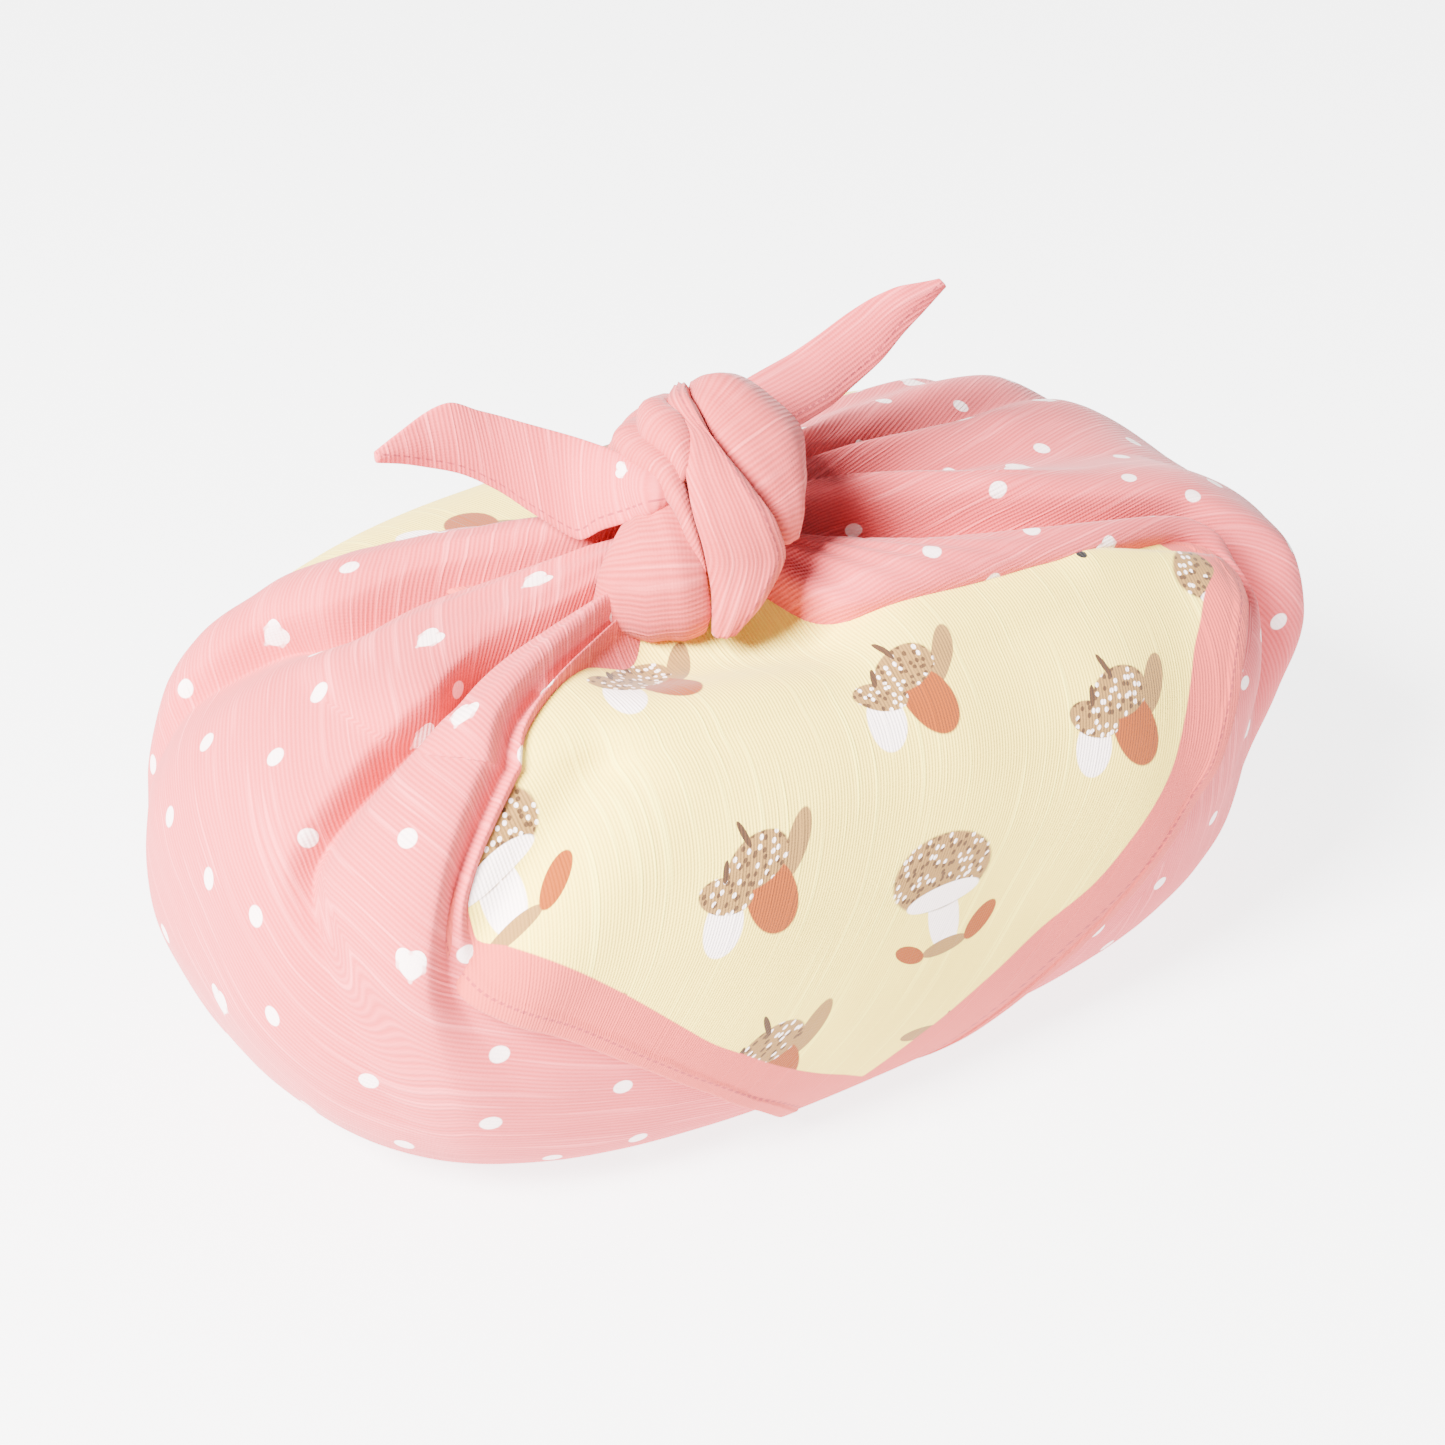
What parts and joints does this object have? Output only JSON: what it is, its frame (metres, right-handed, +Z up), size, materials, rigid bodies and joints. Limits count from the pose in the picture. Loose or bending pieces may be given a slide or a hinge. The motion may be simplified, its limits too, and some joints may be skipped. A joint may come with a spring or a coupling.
{
  "type": "furoshiki wrap",
  "caption": "Square cloth folded over a soft oblong bundle and tied on top in a square knot, with free tails and two turned-out corner flaps.",
  "frame": {"origin": "middle of the flat underside, on the surface that the bundle rests on", "axes": "+X along the tie, towards the tail that stands up; the front flap faces -Y; +Z up"},
  "size_m": [0.2203, 0.1288, 0.1205],
  "materials": {
    "pink_cotton": "matt slub-woven cotton, pink with white spots, cream on the turned-out corners"
  },
  "bodies": {
    "root": {"furoshiki_cloth": "pink_cotton"}
  },
  "joints": []
}
